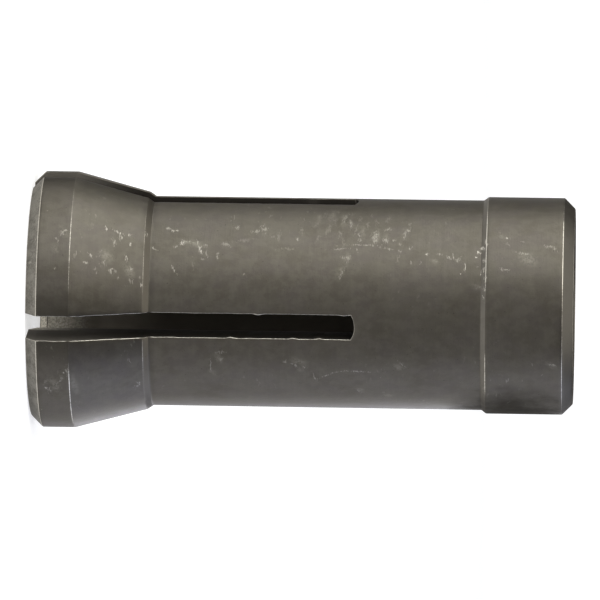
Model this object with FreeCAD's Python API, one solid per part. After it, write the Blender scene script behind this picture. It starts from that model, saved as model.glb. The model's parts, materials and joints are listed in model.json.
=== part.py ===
import FreeCAD, Part

import math
import os

# A slotted spring collet for a die grinder, turned, bored and sawn from one steel bar.
# Millimetres. The axis is +Z, with the nose face at z = 0 and the rear face at z = LENGTH.
# The slots between the four jaws are open at the nose and lie along +X, +Y, -X and -Y.

# Lengths along the axis
LENGTH = 23.75             # nose face to rear face
LAND_LENGTH = 1.90         # nose face to the start of the cone, with the nose chamfer
CONE_LENGTH = 3.17         # the cone that wedges into the spindle's mouth
COLLAR_LENGTH = 3.81       # the pilot collar, with the rear chamfer

# Outside diameters
NOSE_DIA = 11.26           # the land, the largest diameter
BARREL_DIA = 9.20          # the spring barrel that carries the jaws
COLLAR_DIA = 9.51          # the ground collar that centres the collet in the spindle

# Outside tapers and edges, with the angles in degrees from the axis
CONE_ANGLE = 15.0          # narrows towards the rear
STEP_ANGLE = 35.0          # the relief from the end of the cone down to the barrel
SHOULDER_ANGLE = 38.0      # the collar's front bevel
NOSE_CHAMFER = 0.48        # at 45 degrees, the nut's lip bears on it
REAR_CHAMFER = 0.47        # at 45 degrees

# Inside
BORE_DIA = 6.35            # the reamed grip bore, for a quarter-inch shank
REAR_BORE_DIA = 5.70       # the drilled hole behind it, whose step stops the shank
REAR_BORE_LENGTH = 4.75    # rear face to the step
BORE_STEP_ANGLE = 59.0     # degrees from the axis, the seat that the drill's point left
MOUTH_CHAMFER = 0.35       # at 45 degrees, the lead-in at the nose
REAR_BORE_CHAMFER = 0.12   # at 45 degrees, the broken edge at the rear

# Slots
SLOT_WIDTH = 1.08
SLOT_LENGTH = 14.26        # nose face to the slot's end, on the barrel's surface
SAW_DIA = 63.0             # the slitting saw, fed along the axis
SAW_CROWN = 0.15           # how far the middle of its rim stands beyond the rim's corners
SAW_PASSES = 2             # each pass cuts a pair of opposite slots

X_AXIS = FreeCAD.Vector(1, 0, 0)
Z_AXIS = FreeCAD.Vector(0, 0, 1)
ORIGIN = FreeCAD.Vector(0, 0, 0)


def run_of(rise, angle):
    """The length along the axis in which a taper at this angle climbs by rise."""
    return rise / math.tan(math.radians(angle))


def rise_of(run, angle):
    """How far a taper at this angle climbs in a length along the axis."""
    return run * math.tan(math.radians(angle))


def turned_blank():
    """The collet as it leaves the lathe: one closed profile turned about the axis."""
    nose_r = NOSE_DIA / 2
    barrel_r = BARREL_DIA / 2
    collar_r = COLLAR_DIA / 2
    bore_r = BORE_DIA / 2
    rear_bore_r = REAR_BORE_DIA / 2

    cone_end = LAND_LENGTH + CONE_LENGTH
    cone_end_r = nose_r - rise_of(CONE_LENGTH, CONE_ANGLE)
    step_end = cone_end + run_of(cone_end_r - barrel_r, STEP_ANGLE)
    collar_start = LENGTH - COLLAR_LENGTH
    shoulder_start = collar_start - run_of(collar_r - barrel_r, SHOULDER_ANGLE)
    bore_step_end = LENGTH - REAR_BORE_LENGTH
    bore_end = bore_step_end - run_of(bore_r - rear_bore_r, BORE_STEP_ANGLE)

    # Each point is a radius and a height, from the nose up the outside and back down the bore.
    outline = [
        (nose_r - NOSE_CHAMFER, 0),
        (nose_r, NOSE_CHAMFER),
        (nose_r, LAND_LENGTH),
        (cone_end_r, cone_end),
        (barrel_r, step_end),
        (barrel_r, shoulder_start),
        (collar_r, collar_start),
        (collar_r, LENGTH - REAR_CHAMFER),
        (collar_r - REAR_CHAMFER, LENGTH),
        (rear_bore_r + REAR_BORE_CHAMFER, LENGTH),
        (rear_bore_r, LENGTH - REAR_BORE_CHAMFER),
        (rear_bore_r, bore_step_end),
        (bore_r, bore_end),
        (bore_r, MOUTH_CHAMFER),
        (bore_r + MOUTH_CHAMFER, 0),
    ]
    points = [FreeCAD.Vector(radius, 0, height) for radius, height in outline]
    profile = Part.Face(Part.makePolygon(points + points[:1]))
    return profile.revolve(ORIGIN, Z_AXIS, 360)


def slitting_saw():
    """The saw that cuts a pair of slots: a disc across the bore with a crowned rim.

    Its arbor lies along X, in front of the nose, where the rim reaches SLOT_LENGTH at the
    barrel's surface. Nearer the bore the rim reaches a little further.
    """
    rim_r = SAW_DIA / 2
    half_width = SLOT_WIDTH / 2
    arbor_z = SLOT_LENGTH - math.sqrt(rim_r ** 2 - (BARREL_DIA / 2) ** 2)
    corner_z = arbor_z + rim_r - SAW_CROWN

    left_arbor = FreeCAD.Vector(-half_width, 0, arbor_z)
    left_corner = FreeCAD.Vector(-half_width, 0, corner_z)
    crown = FreeCAD.Vector(0, 0, arbor_z + rim_r)
    right_corner = FreeCAD.Vector(half_width, 0, corner_z)
    right_arbor = FreeCAD.Vector(half_width, 0, arbor_z)
    outline = [
        Part.makeLine(left_arbor, left_corner),
        Part.Arc(left_corner, crown, right_corner).toShape(),
        Part.makeLine(right_corner, right_arbor),
        Part.makeLine(right_arbor, left_arbor),
    ]
    return Part.Face(Part.Wire(outline)).revolve(left_arbor, X_AXIS, 360)


def collet_body():
    """The finished collet: the turned blank after its saw passes."""
    body = turned_blank()
    for saw_pass in range(SAW_PASSES):
        saw = slitting_saw()
        saw.rotate(ORIGIN, Z_AXIS, saw_pass * 180 / SAW_PASSES)
        body = body.cut(saw)
    return body.Solids[0]


os.makedirs("parts", exist_ok=True)

collet = collet_body()
collet.exportStep("parts/collet_body.step")

box = collet.BoundBox
print("collet_body valid", collet.isValid(), "volume", round(collet.Volume, 2), "mm3")
print("box", round(box.XLength, 3), round(box.YLength, 3), round(box.ZLength, 3), "mm")
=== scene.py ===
import json
import math

import bmesh
import bpy
from mathutils import Matrix, Vector, noise


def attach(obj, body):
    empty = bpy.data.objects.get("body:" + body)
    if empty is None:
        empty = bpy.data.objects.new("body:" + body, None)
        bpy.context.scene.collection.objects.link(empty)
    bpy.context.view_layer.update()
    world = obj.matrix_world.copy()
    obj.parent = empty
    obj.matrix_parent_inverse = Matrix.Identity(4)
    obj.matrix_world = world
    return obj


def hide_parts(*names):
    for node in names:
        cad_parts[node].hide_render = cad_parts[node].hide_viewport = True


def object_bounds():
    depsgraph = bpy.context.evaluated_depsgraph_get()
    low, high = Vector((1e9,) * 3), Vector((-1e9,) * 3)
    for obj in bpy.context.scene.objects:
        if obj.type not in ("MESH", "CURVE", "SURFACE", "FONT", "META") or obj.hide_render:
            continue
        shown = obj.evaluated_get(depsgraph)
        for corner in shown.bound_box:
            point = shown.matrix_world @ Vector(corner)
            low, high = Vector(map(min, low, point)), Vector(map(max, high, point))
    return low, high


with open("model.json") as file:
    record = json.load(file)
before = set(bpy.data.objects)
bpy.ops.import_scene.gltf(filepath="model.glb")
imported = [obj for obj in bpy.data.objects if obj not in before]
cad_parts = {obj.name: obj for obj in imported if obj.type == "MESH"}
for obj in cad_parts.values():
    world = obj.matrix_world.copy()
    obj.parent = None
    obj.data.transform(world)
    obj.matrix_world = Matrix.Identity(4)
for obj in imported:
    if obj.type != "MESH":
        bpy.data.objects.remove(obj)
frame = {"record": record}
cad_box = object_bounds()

# The collet: one piece of carbon steel, turned and bored in the lathe, reamed to the shank's size
# and sawn into four sprung jaws, then blackened. Its edges were broken by tumbling, and years in
# a grinder's spindle have rubbed them bright.
MM = 0.001
QUARTER = math.pi / 2

BARREL_R = 4.60
SLOT_HALF = 0.54
SLOT_END = 14.11           # the slot's corners on the barrel
SLOT_END_BORE = 14.29      # and on the bore, where the round saw reached further
SLOT_CROWN = 0.15          # how far the saw's crowned rim went beyond those corners
CROWN_FADE = 1.0           # the rows this far past the corners make room for the crown
REAR_CHAMFER = 0.47
REAR_BORE_CHAMFER = 0.12
MOUTH_CHAMFER = 0.35
OUTER_R = 4                # a point beyond this radius is on the outside, one within is on the bore
ROW_PITCH = 0.15
COLUMNS = 192
SLOT_LANES = 4             # columns from a slot's middle to its edge
SPREAD_LANES = 12          # columns over which the rest make room for the slot
TOUCH = 0.01               # a point this near to a slot's edge counts as on it
EDGE_BREAK = 0.03
SHARP_EDGE = math.radians(12)
ROUGH_PITCH = 3.1          # bumps a millimetre along the edges
ROUGH_DEPTH = 0.013        # how far the edges wander at most
ROUGH_SEED = 1             # unseeded, they would wander differently each time
BURR_HALF = 0.14           # half a burr's length
SLOT_RUBS = (0.5, 0.5, 0.2, 0.54)   # how bright each slot's edges are rubbed, from +X round
INSIDE_RUB = 0.3           # and the slots' edges on the bore
RING_REACH = 0.08          # how far from a ring its rub is seen
PATCH_DEPTH = 2            # a patch isn't painted further under the surface than this

mounts = {mount["name"]: mount["dims"] for mount in frame["record"]["mounts"] if mount["dims"]}
bore_r = mounts["grip_bore"]["r_mm"]
rear_bore_r = mounts["rear_bore"]["r_mm"]
collar_r = mounts["pilot_collar"]["r_mm"]
length = cad_box[1][2] / MM

# Radius and height of each ring of the outside, from the nose to the rear
nose_rim = (5.15, 0)
land_start = (5.63, 0.48)
land_end = (5.63, 1.90)
cone_end = (4.7806, 5.07)
barrel_start = (BARREL_R, 5.328)
barrel_end = (BARREL_R, 19.742)
collar_start = (collar_r, 19.94)
collar_end = (collar_r, length - REAR_CHAMFER)
rear_rim = (collar_r - REAR_CHAMFER, length)
outside = [
    nose_rim, land_start, land_end, cone_end, barrel_start,
    barrel_end, collar_start, collar_end, rear_rim,
]

# And of the bore, from the rear to the nose
rear_mouth = (rear_bore_r + REAR_BORE_CHAMFER, length)
rear_bore_start = (rear_bore_r, length - REAR_BORE_CHAMFER)
rear_bore_end = (rear_bore_r, 19.0)
bore_end = (bore_r, 18.805)
bore_start = (bore_r, MOUTH_CHAMFER)
mouth = (bore_r + MOUTH_CHAMFER, 0)
inside = [rear_mouth, rear_bore_start, rear_bore_end, bore_end, bore_start, mouth]

body = bmesh.new()
for name in ("wear", "scuff", "smudge", "stain"):
    body.verts.layers.float.new(name)
body.faces.layers.float.new("inner")
corners = [body.verts.new((radius, 0, height)) for radius, height in outside + inside]
for corner, following in zip(corners, corners[1:] + corners[:1]):
    body.edges.new((corner, following))


def station(ring):
    """The heights at which a row through this ring, short of the slots' ends, meets barrel and bore."""
    radius, height = ring
    lean = (SLOT_END_BORE / SLOT_END - 1) * (BARREL_R - radius) / (BARREL_R - bore_r)
    on_barrel = height / (1 + lean)
    return on_barrel, on_barrel * SLOT_END_BORE / SLOT_END


slotted_rings = (nose_rim, bore_start, land_start, land_end, cone_end, barrel_start)
whole_rings = (bore_end, rear_bore_end, barrel_end, collar_start, collar_end, rear_rim)
stations = [station(ring) for ring in slotted_rings] + [(SLOT_END, SLOT_END_BORE)]
stations += [(height, height) for radius, height in whole_rings]
rows = []
for (start, bore_from), (end, bore_to) in zip(stations, stations[1:]):
    count = max(1, round((end - start) / ROW_PITCH))
    for step in range(count):
        share = step / count
        rows.append((start + (end - start) * share, bore_from + (bore_to - bore_from) * share))
for on_barrel, on_bore in rows[1:]:
    bmesh.ops.bisect_plane(
        body, geom=body.verts[:] + body.edges[:], dist=0.001, plane_co=(BARREL_R, 0, on_barrel),
        plane_no=(on_bore - on_barrel, 0, BARREL_R - bore_r),
    )
bmesh.ops.spin(
    body, geom=body.verts[:] + body.edges[:], cent=(0, 0, 0), axis=(0, 0, 1),
    angle=2 * math.pi, steps=COLUMNS, use_merge=True,
)


def slot_end_at(radius):
    """The height of the slot's corners at this radius."""
    return SLOT_END + (SLOT_END_BORE - SLOT_END) * (BARREL_R - radius) / (BARREL_R - bore_r)


def off_slot(point):
    """Which slot is nearest, and the angle from its middle."""
    angle = math.atan2(point.y, point.x)
    slot = round(angle / QUARTER)
    return slot, angle - slot * QUARTER


# The columns beside each slot are moved on to its straight sides, and the row at its end is
# lifted to the saw's crowned run-out.
slot_turn = 2 * math.pi * SLOT_LANES / COLUMNS
spread_turn = 2 * math.pi * SPREAD_LANES / COLUMNS
for vert in body.verts:
    radius = math.hypot(vert.co.x, vert.co.y)
    slot, turn = off_slot(vert.co)
    edge_turn = math.asin(SLOT_HALF / radius)
    share = abs(turn) / slot_turn
    if share < 1.001:
        aside = math.asin(SLOT_HALF * share / radius)
    elif abs(turn) < spread_turn:
        room = (spread_turn - edge_turn) / (spread_turn - slot_turn)
        aside = edge_turn + (abs(turn) - slot_turn) * room
    else:
        aside = abs(turn)
    angle = slot * QUARTER + math.copysign(aside, turn)
    above = vert.co.z - slot_end_at(radius)
    if share < 1 and -TOUCH < above < CROWN_FADE:
        vert.co.z += SLOT_CROWN * (1 - share ** 2) * (1 - above / CROWN_FADE)
    vert.co.x = radius * math.cos(angle)
    vert.co.y = radius * math.sin(angle)

sawn = []
for face in body.faces:
    centre = face.calc_center_median()
    radius = math.hypot(centre.x, centre.y)
    slot, turn = off_slot(centre)
    if radius * abs(math.sin(turn)) < SLOT_HALF and centre.z < slot_end_at(radius):
        sawn.append(face)
bmesh.ops.delete(body, geom=sawn, context="FACES")

# Each slot's walls and end join its edges on the outside to those on the bore.
walls = {}
for edge in body.edges:
    if edge.is_boundary:
        sides = [math.hypot(vert.co.x, vert.co.y) > OUTER_R for vert in edge.verts]
        if sides[0] == sides[1]:
            middle = (edge.verts[0].co + edge.verts[1].co) / 2
            walls.setdefault(off_slot(middle)[0] % 4, []).append(edge)
slot_walls = []
for edges in walls.values():
    slot_walls += bmesh.ops.bridge_loops(body, edges=edges)["faces"]
bmesh.ops.recalc_face_normals(body, faces=body.faces[:])

# The saw left the slots' edges slightly ragged, with a few burrs. Each has a height, the slot,
# the side of it, how far it leans into the slot and how far it stands down.
burrs = [
    (10.15, 3, -1, 0.04, 0.02), (13.80, 3, -1, 0.03, 0.03), (8.85, 3, 1, 0.03, 0.02),
    (11.55, 3, 1, 0.025, 0.03), (12.75, 3, 1, 0.035, 0.01), (2.3, 3, -1, 0.02, 0.03),
    (6.4, 0, 1, 0.03, 0.02), (9.9, 1, -1, 0.03, 0.03), (3.6, 2, 1, 0.025, 0.03),
    (12.2, 2, -1, 0.04, 0.02), (7.1, 1, 1, 0.02, 0.04),
]
noise.seed_set(ROUGH_SEED)
for vert in body.verts:
    radius = math.hypot(vert.co.x, vert.co.y)
    if radius < OUTER_R or not any(edge.calc_face_angle() > SHARP_EDGE for edge in vert.link_edges):
        continue
    slot, turn = off_slot(vert.co)
    outward = Vector((vert.co.x, vert.co.y, 0)) / radius
    onward = Vector((-outward.y, outward.x, 0))
    rough = noise.noise_vector(vert.co * ROUGH_PITCH) * ROUGH_DEPTH
    vert.co += outward * min(rough.x, 0)
    if abs(turn) < spread_turn and radius * abs(math.sin(turn)) < SLOT_HALF + TOUCH:
        side = math.copysign(1, turn)
        vert.co += onward * rough.y
        for height, burr_slot, burr_side, lean, drop in burrs:
            share = 1 - abs(vert.co.z - height) / BURR_HALF
            if share > 0 and slot % 4 == burr_slot and side == burr_side:
                vert.co -= (onward * side * lean + outward * drop) * share


def value_at(place, stops):
    """The value at a place, from stops of place and value with even changes between them."""
    if place <= stops[0][0]:
        return stops[0][1]
    for (start, value), (end, following) in zip(stops, stops[1:]):
        if place <= end:
            return value + (following - value) * (place - start) / (end - start)
    return stops[-1][1]


surface = [(height, radius) for radius, height in outside]


def lie(height, turn, slant):
    """A place on the outside, and the directions along a mark there, across it and outward.

    The turn is in degrees from the front slot towards the picture's top, and the slant from the axis.
    """
    angle = math.radians(-90 - turn)
    lean = math.radians(slant)
    outward = Vector((math.cos(angle), math.sin(angle), 0))
    onward = Vector((math.sin(angle), -math.cos(angle), 0))
    along = Vector((0, 0, math.cos(lean))) + onward * math.sin(lean)
    centre = outward * value_at(height, surface) + Vector((0, 0, height))
    return centre, along, outward.cross(along), outward


# How bright each ring's edge is rubbed, as stops of a turn and a share.
rubs = {
    nose_rim: [(0, 0.5)], mouth: [(0, 0.5)], rear_rim: [(0, 0.7)], rear_mouth: [(0, 0.7)],
    barrel_start: [(0, 0)], barrel_end: [(0, 0)],
    land_start: [(-80, 0.8), (-30, 0.9), (0, 0.9), (30, 1), (60, 1), (80, 0.8)],
    land_end: [
        (-62, 0.2), (-45, 0.45), (-24, 0.65), (-15, 0.1), (12, 0.1), (22, 0.3), (42, 0.4), (58, 0.25),
        (75, 0.15),
    ],
    cone_end: [
        (-30, 0.15), (-18, 0.4), (-9, 0.4), (-5, 0.15), (12, 0.15), (25, 0.3), (55, 0.3), (75, 0.15),
    ],
    collar_start: [
        (-45, 0.1), (-36, 0.6), (-18, 0.6), (-10, 0.08), (18, 0.08), (26, 0.7), (62, 0.8), (75, 0.3),
    ],
    collar_end: [
        (-60, 0.2), (-40, 0.4), (-8, 0.55), (0, 0.4), (18, 0.45), (28, 0.9), (60, 0.9), (68, 0.3),
    ],
}

# Where the tool rack and the spindle have scuffed the oxide, the soft smudges, and a patch of painted
# shade by the collar: each a height, a turn, a length, a width and a slant.
scuffs = [
    (4, 150, 4, 6, 0), (11, 170, 7, 7, 0), (17, 215, 6, 7, 0), (1.2, 205, 2, 8, 0),
    (21.5, 160, 3, 8, 0), (8, 240, 6, 6, 0), (16, 120, 5, 5, 0), (3.5, -100, 4, 5, 0),
]
smudges = [
    (12.66, 67.7, 0.77, 0.22, 85), (13.16, 69.8, 1.19, 0.26, 75), (13.71, 63.5, 1.4, 0.22, 95),
    (14.03, 61.9, 0.54, 0.22, 95), (14.51, 56.5, 1.09, 0.22, 90), (15.13, 53.8, 1.04, 0.31, 90),
    (15.57, 51.7, 0.67, 0.22, 90), (13.9, 38, 0.69, 0.22, 75), (13.62, 31, 0.86, 0.26, 75),
    (17.73, 37.5, 0.43, 0.35, 0), (16.46, 57.8, 0.26, 0.31, 0), (20.56, 53.4, 0.35, 0.35, 140),
    (8.39, -19.1, 0.67, 0.35, 110), (8.09, -28.7, 0.38, 0.22, 140), (11.8, -20.3, 1.12, 0.35, 165),
    (11.91, -25.6, 0.36, 0.22, 165), (16.17, -23.6, 0.54, 0.4, 165), (14.52, -41.9, 0.37, 0.26, 125),
    (15.71, -47.2, 0.53, 0.26, 170), (1.58, 44.7, 0.72, 0.4, 115), (1.27, 36.2, 0.43, 0.35, 130),
    (3.47, 34.7, 0.74, 0.62, 135), (4.47, 28.1, 0.84, 0.53, 110), (7.18, 46.5, 1.18, 0.4, 165),
    (14.36, -27.2, 1, 0.18, 0), (19.57, 23.4, 0.64, 0.31, 165), (21.74, 38.6, 1.12, 0.71, 165),
    (1.28, -28.3, 1.3, 0.53, 115), (2.11, -28.1, 1.45, 0.26, 95), (22.8, -19.1, 0.57, 0.31, 150),
]
# Painted shade low on the collar, on the side away from the key light.
collar_shade_patches = [(21.2, -69, 7.0, 6.6, 0)]

wear = body.verts.layers.float["wear"]
inner = body.faces.layers.float["inner"]
for face in slot_walls:
    face[inner] = 1
for face in body.faces:
    centre = face.calc_center_median()
    if math.hypot(centre.x, centre.y) < mouth[0] and 0 < centre.z < rear_bore_start[1]:
        face[inner] = 1

sharp = [edge for edge in body.edges if edge.is_manifold and edge.calc_face_angle() > SHARP_EDGE]
broken = bmesh.ops.bevel(
    body, geom=sharp, affect="EDGES", offset_type="OFFSET", offset=EDGE_BREAK, segments=2,
    profile=0.5, material=-1, clamp_overlap=True,
)
edge_faces = set(broken["faces"])
for face in edge_faces:
    face[inner] = 0
for vert in broken["verts"]:
    if all(face in edge_faces for face in vert.link_faces):
        radius = math.hypot(vert.co.x, vert.co.y)
        turn = (math.degrees(-QUARTER - math.atan2(vert.co.y, vert.co.x)) + 180) % 360 - 180
        vert[wear] = SLOT_RUBS[off_slot(vert.co)[0] % 4] if radius > OUTER_R else INSIDE_RUB
        for ring, stops in rubs.items():
            if math.hypot(radius - ring[0], vert.co.z - ring[1]) < RING_REACH:
                vert[wear] = value_at(turn, stops)
                break

# Points that now lie outside the turned outline go back on to it.
for vert in body.verts:
    spare = math.hypot(vert.co.x, vert.co.y) / value_at(vert.co.z, surface)
    if spare > 1:
        vert.co.x /= spare
        vert.co.y /= spare

for name, patches in (("scuff", scuffs), ("smudge", smudges), ("stain", collar_shade_patches)):
    layer = body.verts.layers.float[name]
    for high, turn, long, wide, slant in patches:
        centre, along, aside, outward = lie(high, turn, slant)
        for vert in body.verts:
            away = vert.co - centre
            reach = math.hypot(away.dot(along) * 2 / long, away.dot(aside) * 2 / wide)
            if reach < 1 and away.dot(outward) > -PATCH_DEPTH:
                vert[layer] = max(vert[layer], 1 - reach)
bmesh.ops.scale(body, vec=(MM, MM, MM), verts=body.verts[:])
for face in body.faces:
    face.smooth = True
mesh = bpy.data.meshes.new("collet")
body.to_mesh(mesh)
body.free()
collet = bpy.data.objects.new("collet", mesh)
bpy.context.collection.objects.link(collet)
normals = collet.modifiers.new("even normals", "WEIGHTED_NORMAL")
normals.weight = 80


class Shade:
    """A node's output. Sums on it add Math nodes, and node() adds any other node."""

    tree = None

    def __init__(self, output):
        self.output = output

    @classmethod
    def node(cls, kind, settings=None, inputs=None, output=0):
        made = cls.tree.nodes.new("ShaderNode" + kind)
        for name, setting in (settings or {}).items():
            setattr(made, name, setting)
        for name, value in (inputs or {}).items():
            if isinstance(value, Shade):
                cls.tree.links.new(value.output, made.inputs[name])
            else:
                made.inputs[name].default_value = value
        return cls(made.outputs[output]) if made.outputs else None

    @classmethod
    def math(cls, operation, *values):
        return cls.node("Math", {"operation": operation}, dict(enumerate(values)))

    def __add__(self, other):
        return Shade.math("ADD", self, other)

    def __sub__(self, other):
        return Shade.math("SUBTRACT", self, other)

    def __rsub__(self, other):
        return Shade.math("SUBTRACT", other, self)

    def __mul__(self, other):
        return Shade.math("MULTIPLY", self, other)

    __radd__ = __add__
    __rmul__ = __mul__

    def step(self, low, high):
        """0 below low, 1 above high and smooth between them."""
        return Shade.node("MapRange", {"interpolation_type": "SMOOTHSTEP"}, {0: self, 1: low, 2: high})


def blend(share, first, second):
    """A colour between two colours."""
    return Shade.node("Mix", {"data_type": "RGBA"}, {0: share, 6: first, 7: second}, 2)


def grain(place, stretch, detail=2, roughness=0.5):
    """Noise with this many spots a millimetre along X, Y and Z, from 0 to 1."""
    spread = Shade.node("VectorMath", {"operation": "MULTIPLY"}, {0: place, 1: stretch})
    inputs = {"Vector": spread, "Scale": 1, "Detail": detail, "Roughness": roughness}
    return Shade.node("TexNoise", None, inputs)


WAVER_PITCH = 3.5          # to and fro this many times a millimetre
WAVER = 0.2                # by at most half of this
MARK_DEPTH = 0.6
RELIEF_DEPTH = 0.000012    # in metres
LONG_SHOWN = 0.5           # the share of a mark's length that its fraying leaves
WIDE_SHOWN = 0.3           # and of its width

steel = bpy.data.materials.new("blackened_steel")
steel.use_nodes = True
Shade.tree = steel.node_tree
place = Shade.node(
    "VectorMath", {"operation": "SCALE"},
    {0: Shade.node("TexCoord", output="Object"), "Scale": 1 / MM},
)
across_x, across_y, level = [Shade.node("SeparateXYZ", None, {0: place}, axis) for axis in range(3)]
radius = Shade.math("SQRT", across_x * across_x + across_y * across_y)


def painted_on(name):
    """A value painted on the mesh."""
    return Shade.node("Attribute", {"attribute_name": name}, output="Fac")


def mark(height, turn, long, wide, slant):
    """1 at a place on the outside, falling to 0 at the ends of a mark of this length and width."""
    centre, along, aside, outward = lie(height, turn, slant)
    turned = Matrix((along, aside, outward)).transposed().to_euler()
    reaches = (long / 2, wide / 2, MARK_DEPTH)
    local = Shade.node(
        "Mapping", {"vector_type": "TEXTURE"},
        {"Vector": wavy, "Location": centre, "Rotation": turned, "Scale": reaches},
    )
    return Shade.node("TexGradient", {"gradient_type": "SPHERICAL"}, {0: local}, 1)


def most(fields):
    """The strongest of several masks."""
    strongest = fields[0]
    for field in fields[1:]:
        strongest = Shade.math("MAXIMUM", strongest, field)
    return strongest


# Places shifted a little to and fro, so that no mark is straight.
shake = Shade.node("TexNoise", None, {"Vector": place, "Scale": WAVER_PITCH, "Detail": 1}, 1)
shake = Shade.node("VectorMath", {"operation": "SUBTRACT"}, {0: shake, 1: (0.5, 0.5, 0.5)})
wavy = Shade.node("VectorMath", {"operation": "MULTIPLY_ADD"}, {0: shake, 1: [WAVER] * 3, 2: place})

# Turning and reaming marks: coarse and fine rings.
rings = grain(place, (0.3, 0.3, 5), 3, 0.6)
fine_rings = grain(place, (0.8, 0.8, 22), 1)

# The oxide varies in wide clouds, in its hue, and in smaller and smaller spots.
cloud = grain(place, (0.35, 0.35, 0.35), 3, 0.6)
hue = grain(place, (1.1, 1.1, 0.8), 2, 0.6)
mottle = grain(place, (2.2, 2.2, 1.8), 3, 0.65)
grit = grain(place, (12, 12, 12), 2, 0.6)

# What the marks are frayed by.
fray = grain(wavy, (6.5, 6.5, 22), 2, 0.65)


def frayed(shape):
    """A mask broken up into fine streaks and specks."""
    return (shape * 1.1 + fray * 3.2 - 2.2).step(0, 0.6) * shape.step(0, 0.25)


# The inside: slot walls and bore, unrubbed, with painted shade deeper in.
inside_faces = painted_on("inner")

# Loose marks anywhere outside: small spots and dragged streaks, gathered where the oxide is scuffed.
spots = grain(wavy, (2.6, 2.6, 4.5), 1).step(0.6, 0.78)
streaks = grain(wavy, (1.8, 1.8, 8), 1).step(0.64, 0.8)
loose = frayed(most([spots, streaks]))
busy = Shade.math("MAXIMUM", painted_on("scuff").step(0, 0.7), cloud.step(0.5, 0.8) * 0.5) * (1 - inside_faces)

# The marks that the photo shows, from the clearest, at the collar's shoulder, to the dimmest. Each
# has a height, a turn, a length, a width and a slant.
shoulder_marks = [
    (19.04, 34.4, 0.3, 0.06, 95), (18.87, 30.4, 0.06, 0.07, 90), (19.65, 42.8, 0.22, 0.07, 15),
    (19.8, 45.9, 0.27, 0.07, 95), (19.58, 34.6, 0.07, 0.08, 120), (19.72, 30.2, 0.06, 0.07, 140),
    (19.59, 43.4, 0.2, 0.07, 95), (19.74, 46, 0.21, 0.07, 95), (19.88, 37.4, 0.29, 0.08, 90),
    (19.84, 32.1, 0.23, 0.08, 90), (19.93, 27.2, 0.27, 0.07, 90), (19.86, 21.7, 0.22, 0.07, 90),
    (19.83, 17.7, 0.17, 0.07, 85), (19.92, 48.1, 0.32, 0.07, 90), (19.71, 23.7, 0.09, 0.07, 105),
    (19.52, 40, 0.14, 0.07, 20),
]
bright_marks = [
    (3.93, 48.5, 0.49, 0.07, 160), (3.4, 49.6, 0.27, 0.06, 95), (4.45, 48.2, 0.2, 0.11, 175),
    (4.48, 42.3, 0.2, 0.07, 95), (2.8, 34, 0.26, 0.07, 120), (3.69, 27.3, 0.24, 0.11, 120),
    (4.32, 34.5, 0.33, 0.07, 90), (5.03, 21.5, 0.23, 0.07, 105), (5.14, 50.5, 0.27, 0.08, 95),
    (6.73, 46.6, 0.3, 0.13, 40), (7.49, 43.1, 0.59, 0.07, 110), (7.74, 45, 0.22, 0.1, 135),
    (8.71, 63.3, 0.07, 0.07, 130), (6.35, 31.1, 0.46, 0.06, 125), (6.38, 54.9, 0.4, 0.07, 175),
    (17.37, 41.9, 0.18, 0.1, 75), (18.34, 39.6, 0.27, 0.07, 125), (18.51, 40.1, 0.24, 0.07, 95),
    (1.7, -21.3, 0.17, 0.07, 0), (0.61, -46.1, 0.12, 0.07, 90), (0.89, -30.1, 0.19, 0.11, 55),
    (20.83, 51.4, 0.27, 0.07, 170), (0.44, 74, 0.7, 0.07, 95), (0.8, 56.3, 0.09, 0.07, 140),
    (0.43, 41, 0.22, 0.07, 100), (0.42, 29, 0.18, 0.07, 90), (0.16, 30.2, 0.13, 0.07, 115),
]
soft_marks = [
    (6.1, 56.7, 0.28, 0.12, 0), (6.42, 44.3, 0.25, 0.08, 30), (7.38, 47.2, 0.26, 0.07, 95),
    (8.27, 38.1, 0.29, 0.07, 90), (9.1, 57.9, 0.25, 0.11, 50), (4.13, 45.9, 0.26, 0.07, 95),
    (2.6, 30.2, 0.18, 0.11, 105), (3.19, 30.9, 0.11, 0.09, 175), (3.4, 31.5, 0.12, 0.09, 160),
    (4.59, 28.9, 0.21, 0.07, 135), (4.03, 24.5, 0.16, 0.07, 105), (15.64, 58, 0.42, 0.11, 35),
    (16.51, 57.2, 0.25, 0.11, 125), (16.34, 52.3, 0.23, 0.07, 50), (16.67, 44.8, 0.2, 0.09, 115),
    (14.35, 43.4, 0.23, 0.06, 95), (16.21, 47.2, 0.21, 0.07, 130), (15.91, 50.1, 0.13, 0.08, 120),
    (18.8, 39.1, 0.19, 0.1, 145), (11.74, 50.4, 0.25, 0.07, 95), (17.11, 36.2, 0.14, 0.07, 100),
    (4.84, -34.9, 0.19, 0.11, 120), (1.38, 39.9, 0.26, 0.08, 50), (1.58, 44.5, 0.49, 0.11, 50),
    (1.33, 27.2, 0.09, 0.09, 135), (5.54, 42.4, 0.33, 0.06, 145), (7.84, 37.7, 0.07, 0.07, 135),
    (9.47, 28.6, 0.08, 0.07, 125), (17.74, -25.6, 0.07, 0.07, 130), (13.8, -27, 0.74, 0.05, 5),
    (14.56, -26.9, 0.79, 0.05, 175), (13.05, -29.9, 0.67, 0.05, 30), (13.91, -18.5, 0.07, 0.07, 130),
    (21.48, 49.4, 0.26, 0.06, 175), (22.89, -19.1, 0.31, 0.06, 170), (20.84, 32.6, 0.3, 0.06, 175),
]
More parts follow.
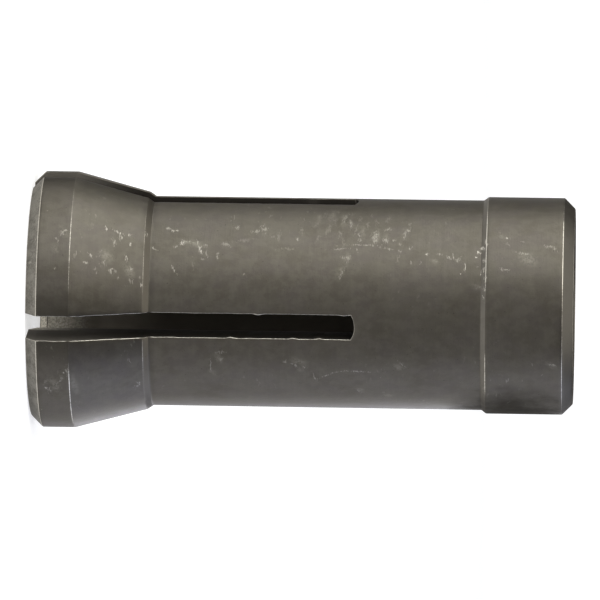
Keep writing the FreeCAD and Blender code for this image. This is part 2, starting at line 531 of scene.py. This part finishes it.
faint_marks = [
    (15.09, 52.3, 0.68, 0.2, 90), (13.75, 67.8, 0.74, 0.13, 80), (10.24, 57, 0.52, 0.18, 110),
    (14.01, 62.8, 0.55, 0.14, 95), (14.56, 46.8, 1.52, 0.05, 0), (14.44, 51.5, 0.56, 0.12, 95),
    (9.89, 55.1, 0.52, 0.11, 10), (13.95, 36.4, 0.64, 0.08, 70), (15.51, 50, 0.28, 0.18, 100),
    (13.7, 29.6, 0.57, 0.08, 65), (8.03, -23.8, 0.66, 0.06, 95), (4.74, -37.4, 0.27, 0.13, 0),
    (1.04, -31.5, 0.5, 0.07, 90), (3.78, 42.6, 0.4, 0.08, 95), (0.87, -26.5, 0.3, 0.1, 60),
    (14.47, -42.6, 0.41, 0.07, 120), (8.49, 46.7, 0.26, 0.11, 175), (16.58, 63, 0.35, 0.08, 105),
    (2.97, 27.7, 0.12, 0.09, 135), (3.06, 25.9, 0.11, 0.09, 145), (3.83, 27.5, 0.19, 0.09, 155),
    (4.59, 23, 0.28, 0.11, 145), (4.95, 25.1, 0.16, 0.09, 125), (1.29, 40.8, 0.13, 0.09, 50),
    (3.37, 31, 0.23, 0.09, 160), (4.04, 46.3, 0.36, 0.09, 100), (6.85, 47.8, 0.41, 0.1, 165),
    (7.81, 39.8, 0.4, 0.07, 105), (8.27, 39.3, 0.29, 0.07, 100), (7.65, 37, 0.27, 0.07, 170),
    (8.66, 45.9, 0.47, 0.09, 160), (13.63, 44.1, 0.96, 0.07, 5), (13.88, 38.9, 0.48, 0.09, 175),
    (15.65, 44.8, 0.67, 0.07, 170), (16.43, 55.5, 0.62, 0.1, 75), (16.22, 43, 0.2, 0.08, 130),
    (16.69, 36.2, 0.3, 0.07, 110), (17.89, 41.8, 0.26, 0.08, 0), (18.29, 39.1, 0.23, 0.08, 140),
    (18.72, 38.3, 0.26, 0.09, 135), (18.99, 33.1, 0.29, 0.07, 75), (20.9, 47.2, 0.34, 0.09, 155),
    (21.47, 42.1, 0.57, 0.07, 170), (20.73, 32.8, 0.53, 0.07, 170), (22.77, 45.7, 0.47, 0.11, 150),
    (1.51, -25.9, 0.39, 0.09, 60), (1.01, -31.5, 0.35, 0.1, 135), (1.81, -20.6, 0.69, 0.08, 90),
    (8.44, -15.3, 0.44, 0.08, 0), (8.43, -20, 0.35, 0.08, 10), (11.24, -20.4, 0.17, 0.09, 140),
    (12.1, -24.6, 0.21, 0.11, 130), (11.69, -22.9, 0.45, 0.06, 165), (16.33, -21.2, 0.37, 0.08, 145),
    (12.55, -32.1, 0.56, 0.06, 115), (4.49, -18.9, 0.28, 0.07, 105),
]
dim_marks = [
    (12.5, 62, 0.5, 0.12, 85), (12.85, 70, 0.6, 0.13, 95), (13.05, 58, 0.7, 0.11, 80),
    (13.3, 65, 0.55, 0.14, 100), (13.4, 73, 0.5, 0.12, 90), (13.55, 54.5, 0.6, 0.11, 95),
    (14.05, 71, 0.45, 0.12, 85), (14.25, 57.5, 0.7, 0.11, 80), (14.4, 66, 0.65, 0.13, 95),
    (14.75, 61, 0.6, 0.11, 90), (14.9, 70, 0.4, 0.12, 100), (15.15, 64, 0.55, 0.12, 85),
    (12.6, 50.5, 0.5, 0.1, 80), (13.75, 48, 0.6, 0.1, 100), (15.6, 66, 0.5, 0.12, 85),
    (11.9, 56, 0.5, 0.1, 95), (10.9, 52, 0.6, 0.1, 80), (9.4, 49, 0.8, 0.1, 10),
    (11.3, 44, 0.9, 0.08, 5), (7.2, 33, 0.7, 0.08, 90), (16.1, 39, 0.6, 0.09, 85),
]


def marked(places):
    """Frayed marks in all these places."""
    return frayed(most([
        mark(high, turn, long / LONG_SHOWN, wide / WIDE_SHOWN, slant)
        for high, turn, long, wide, slant in places
    ]))


scratched = most([
    marked(shoulder_marks) * 0.55, marked(bright_marks) * 0.32, marked(soft_marks) * 0.2,
    marked(faint_marks) * 0.15, marked(dim_marks) * 0.065, loose * busy * 0.3,
])

# The inside: the reamed bore is lighter than the sawn walls; both are painted darker away from the nose,
# as painted shade deep in the bore and slots, and the bore is painted bright at its mouth as painted
# light.
MOUTH_OXIDE = (0.12, 0.107, 0.088, 1)
REAMED_OXIDE = (0.18, 0.163, 0.137, 1)
DEEP_BORE_SHADE = (0.085, 0.075, 0.062, 1)
WALL_OXIDE = (0.13, 0.12, 0.105, 1)
WALL_SHADE = (0.029, 0.026, 0.022, 1)
MOUTH_LIGHT = (0.7, 0.665, 0.58, 1)

bore_colour = blend(level.step(2, 3), MOUTH_OXIDE, REAMED_OXIDE)
# Painted shade: the bore darkens deep in.
bore_colour = blend(level.step(3.2, 5.8), bore_colour, DEEP_BORE_SHADE)
# Painted shade: the slot walls darken deep in.
wall_colour = blend(level.step(1.5, 5), WALL_OXIDE, WALL_SHADE)
inside_colour = blend(radius.step(bore_r + 0.015, bore_r + 0.125), bore_colour, wall_colour)
# Painted light: the bore is painted bright at its mouth, where light falls in at the open nose.
mouth_light = (1 - level.step(0.2, 2.7)) * (1 - radius.step(3.4, 3.8))
inside_colour = blend(mouth_light * (grit.step(0.35, 0.65) * 0.5 + 0.5), inside_colour, MOUTH_LIGHT)


def band(low, high):
    """1 at the heights between two soft ends, each a pair of heights."""
    return level.step(*low) * (1 - level.step(*high))


# The outside's own regions: the nose's worn chamfer, also painted lighter as a painted reflection;
# the land darker beside the slots; the relief step, painted lighter as painted light, with painted
# shade at its foot; the collar's shoulder, rubbed and painted lighter as painted light; painted shade
# by the collar; and the rear chamfer, painted lighter as painted light.
from_slots = Shade.math("MINIMUM", Shade.math("ABSOLUTE", across_x), Shade.math("ABSOLUTE", across_y))
# The nose chamfer: worn, and painted lighter as a painted reflection of its surroundings.
nose_chamfer = (1 - level.step(0.44, 0.50)) * radius.step(4.9, 5.1)
speckled = (mottle * 0.6 + grit * 0.4).step(0.35, 0.6)
# The land, darker beside the slots.
land_darkening = band((0.48, 0.52), (1.87, 1.91)) * (1 - from_slots.step(0.7, 2))
relief_step = band((5.0, 5.08), (5.28, 5.34))
# Painted shade at the foot of the relief step.
foot_shade = band((5.28, 5.36), (5.40, 5.65))
shoulder = band((barrel_end[1] - 0.03, barrel_end[1] + 0.04), (19.93, 19.95))
# Painted shade by the collar, broken up by the mottle and hue; it is also rougher.
stain = painted_on("stain")
collar_shaded = (stain + (mottle + hue - 1) * 0.35).step(0, 0.85) * stain.step(0, 0.2)
# The rear chamfer, painted lighter as painted light.
rear_chamfer = level.step(length - 0.49, length - 0.45) * radius.step(OUTER_R, OUTER_R + 0.2)

DARK_OXIDE = (0.063, 0.0565, 0.0455, 1)
PLAIN_OXIDE = (0.076, 0.0695, 0.0575, 1)
REDDISH_OXIDE = (0.073, 0.0645, 0.060, 1)
PALE_OXIDE = (0.092, 0.0845, 0.0695, 1)
GROOVE = (0.05, 0.045, 0.038, 1)
SMUDGE = (0.18, 0.17, 0.14, 1)
STEP_LIGHT = (0.12, 0.108, 0.088, 1)
SHADE_AND_DARKENING = (0.03, 0.027, 0.022, 1)
SHOULDER_RUB_AND_LIGHT = (0.21, 0.195, 0.17, 1)
COLLAR_SHADE_COLOUR = (0.03, 0.027, 0.021, 1)
WORN_OXIDE_AND_SHEEN = (0.265, 0.252, 0.222, 1)
REAR_CHAMFER_LIGHT = (0.12, 0.112, 0.098, 1)
PIT = (0.02, 0.018, 0.015, 1)
BARE_STEEL = (0.55, 0.52, 0.455, 1)

oxide = blend(cloud.step(0.3, 0.7), DARK_OXIDE, PLAIN_OXIDE)
for share, over in (
    (hue.step(0.4, 0.62) * 0.4, REDDISH_OXIDE),
    (mottle.step(0.38, 0.66) * 0.5, PALE_OXIDE),
    (rings.step(0.3, 0.7) * 0.12, GROOVE),
    (painted_on("smudge") * (mottle + grit).step(0.7, 1.2) * 0.65, SMUDGE),
    # The relief step, painted lighter as painted light.
    (relief_step * 0.5, STEP_LIGHT),
    # Painted shade at the step's foot, and the land darker beside the slots.
    (Shade.math("MAXIMUM", foot_shade * 0.2, land_darkening * 0.6), SHADE_AND_DARKENING),
    # The shoulder: rubbed, and painted lighter as painted light.
    (shoulder * (0.25 + mottle * 0.3), SHOULDER_RUB_AND_LIGHT),
    # Painted shade by the collar.
    (collar_shaded * 0.8, COLLAR_SHADE_COLOUR),
    # The nose chamfer: speckled wear, and painted lighter as a painted reflection.
    (nose_chamfer * (speckled * 0.55 + 0.4), WORN_OXIDE_AND_SHEEN),
    # The rear chamfer, painted lighter as painted light.
    (rear_chamfer * 0.6, REAR_CHAMFER_LIGHT),
    (grit.step(0.69, 0.74) * 0.5, PIT),
    (inside_faces, inside_colour),
):
    oxide = blend(share, oxide, over)

# Bare steel shows where edges are rubbed and in the marks, and is a little smoother.
rubbed = (painted_on("wear") * (grit * 1.6 + mottle * 0.9 - 0.25)).step(0.08, 0.62)
bare = Shade.math("MAXIMUM", rubbed * 0.9, scratched)
colour = blend(bare, oxide, BARE_STEEL)
roughness = 0.46 + (mottle - 0.5) * 0.12 - bare * 0.1 + inside_faces * 0.3 + collar_shaded * 0.45
relief = rings * 0.3 + fine_rings * 0.12 + mottle * 0.6 + grit * 0.25 - scratched * 0.8
bump = Shade.node("Bump", None, {"Strength": 1, "Distance": RELIEF_DEPTH, "Height": relief})

shader = steel.node_tree.nodes["Principled BSDF"]
shader.inputs["Metallic"].default_value = 1
shader.inputs["Specular Tint"].default_value = (0.5, 0.5, 0.5, 1)
for name, source in (("Base Color", colour), ("Roughness", roughness), ("Normal", bump)):
    steel.node_tree.links.new(source.output, shader.inputs[name])
mesh.materials.append(steel)
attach(collet, "root")
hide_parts("collet_body")

# The floor: a plain white sheet that the collet stands on. It shows white to the camera and in
# the metal, and still takes the collet's shadow.
FLOOR_REACH = 1.0
COVE = 0.07                # the radius of its turned-up rim
COVE_STEPS = 12
FLOOR_COLUMNS = 96
PAPER_WHITE = (0.55, 0.55, 0.55, 1)
PAPER_GLOW = 0.58          # with the lamps' light, this makes the paper white to the camera

floor_mesh = bpy.data.meshes.new("floor")
sheet = bmesh.new()
edge_points = [(FLOOR_REACH - COVE, 0)]
for step in range(1, COVE_STEPS + 1):
    turn = step * QUARTER / COVE_STEPS
    edge_points.append((FLOOR_REACH - COVE + COVE * math.sin(turn), COVE * (1 - math.cos(turn))))
hub = sheet.verts.new((0, 0, 0))
line = [hub] + [sheet.verts.new((reach, 0, height)) for reach, height in edge_points]
for start, end in zip(line, line[1:]):
    sheet.edges.new((start, end))
bmesh.ops.spin(
    sheet, geom=sheet.verts[:] + sheet.edges[:], cent=(0, 0, 0), axis=(0, 0, 1),
    angle=2 * math.pi, steps=FLOOR_COLUMNS, use_merge=True,
)
bmesh.ops.remove_doubles(sheet, verts=sheet.verts[:], dist=0.0001)
for face in sheet.faces:
    face.smooth = True
sheet.to_mesh(floor_mesh)
sheet.free()
floor = bpy.data.objects.new("floor", floor_mesh)
bpy.context.collection.objects.link(floor)
paper = bpy.data.materials.new("white_paper")
paper.use_nodes = True
Shade.tree = paper.node_tree
Shade.tree.nodes.clear()
matte = Shade.node("BsdfDiffuse", None, {"Color": PAPER_WHITE})
white_to = ("Is Camera Ray", "Is Glossy Ray", "Is Transmission Ray")
seen = most([Shade.node("LightPath", output=ray) for ray in white_to])
glow = Shade.node("Emission", None, {"Strength": seen * PAPER_GLOW})
Shade.node("OutputMaterial", None, {"Surface": Shade.node("AddShader", None, {0: matte, 1: glow})}, None)
floor_mesh.materials.append(paper)

# The camera: a long lens level with the collet and a little above its rear end, turned on its
# side, so that the axis lies across the picture.
LENS = 486                 # millimetres
SENSOR = 36
CAMERA_TURN = math.radians(13.4)    # from the front slot's middle
CAMERA_REACH = 0.3556      # metres from the axis
CAMERA_HEIGHT = 0.0275
AIM_HEIGHT = 0.0117
AIM_ASIDE = 0.000104       # towards the picture's top, which lowers the axis in the picture
CAMERA_ROLL = math.radians(0.84)

towards = Vector((-math.sin(CAMERA_TURN), -math.cos(CAMERA_TURN), 0))
above = Vector((-math.cos(CAMERA_TURN), math.sin(CAMERA_TURN), 0))
camera_place = towards * CAMERA_REACH + Vector((0, 0, CAMERA_HEIGHT))
back = (camera_place - above * AIM_ASIDE - Vector((0, 0, AIM_HEIGHT))).normalized()
level_right = above.cross(back)
right = level_right * math.cos(CAMERA_ROLL) + above * math.sin(CAMERA_ROLL)
up = back.cross(right)
lens = bpy.data.cameras.new("camera")
lens.lens = LENS
lens.sensor_width = SENSOR
lens.clip_start = 0.01
lens.clip_end = 50
camera = bpy.data.objects.new("camera", lens)
bpy.context.collection.objects.link(camera)
camera.matrix_world = Matrix((
    (right.x, up.x, back.x, camera_place.x),
    (right.y, up.y, back.y, camera_place.y),
    (right.z, up.z, back.z, camera_place.z),
    (0, 0, 0, 1),
))
bpy.context.scene.camera = camera

# The light: a large soft box beside the collet, weaker ones in front of it, on its other side and
# overhead, and a small strong one behind it, in a dim room.
ROOM_GLOW = 0.03


def soft_box(name, turn, reach, height, aim, width, tall, radiance, tint):
    """A soft box round the collet, turned in degrees from the camera towards the picture's top.

    Its reach is from the axis, and it faces the axis at the height it aims at.
    """
    lamp = bpy.data.lights.new(name, "AREA")
    lamp.shape = "RECTANGLE"
    lamp.size = width
    lamp.size_y = tall
    lamp.energy = radiance * math.pi * width * tall
    lamp.color = tint
    box = bpy.data.objects.new(name, lamp)
    bpy.context.collection.objects.link(box)
    angle = math.radians(turn)
    place = towards * (reach * math.cos(angle)) + above * (reach * math.sin(angle))
    place += Vector((0, 0, height))
    facing = (place - Vector((0, 0, aim))).normalized()
    box.matrix_world = Matrix.Translation(place) @ facing.to_track_quat("Z", "Y").to_matrix().to_4x4()
    box.visible_camera = False


soft_box(
    "key", turn=71, reach=0.8, height=0.155, aim=0.05, width=1.3, tall=0.36, radiance=6.15,
    tint=(0.97, 0.985, 0.965),
)
soft_box(
    "front", turn=27, reach=0.8, height=0.42, aim=0.01, width=0.55, tall=0.35, radiance=2.0,
    tint=(1, 0.98, 0.95),
)
soft_box(
    "fill", turn=-106, reach=0.8, height=0.34, aim=0.1, width=1.3, tall=0.8, radiance=2.2,
    tint=(0.83, 0.9, 1.14),
)
soft_box(
    "rim", turn=-147, reach=0.8, height=0.03, aim=0.03, width=0.45, tall=0.16, radiance=11,
    tint=(0.93, 0.96, 1.07),
)
soft_box(
    "overhead", turn=50, reach=0.3, height=0.9, aim=0, width=2, tall=2, radiance=1.5,
    tint=(1, 0.985, 0.94),
)

room = bpy.data.worlds.new("room")
room.use_nodes = True
background = room.node_tree.nodes["Background"]
background.inputs["Color"].default_value = (ROOM_GLOW, ROOM_GLOW, ROOM_GLOW, 1)
background.inputs["Strength"].default_value = 1
bpy.context.scene.world = room
bpy.context.scene.view_settings.view_transform = "Standard"
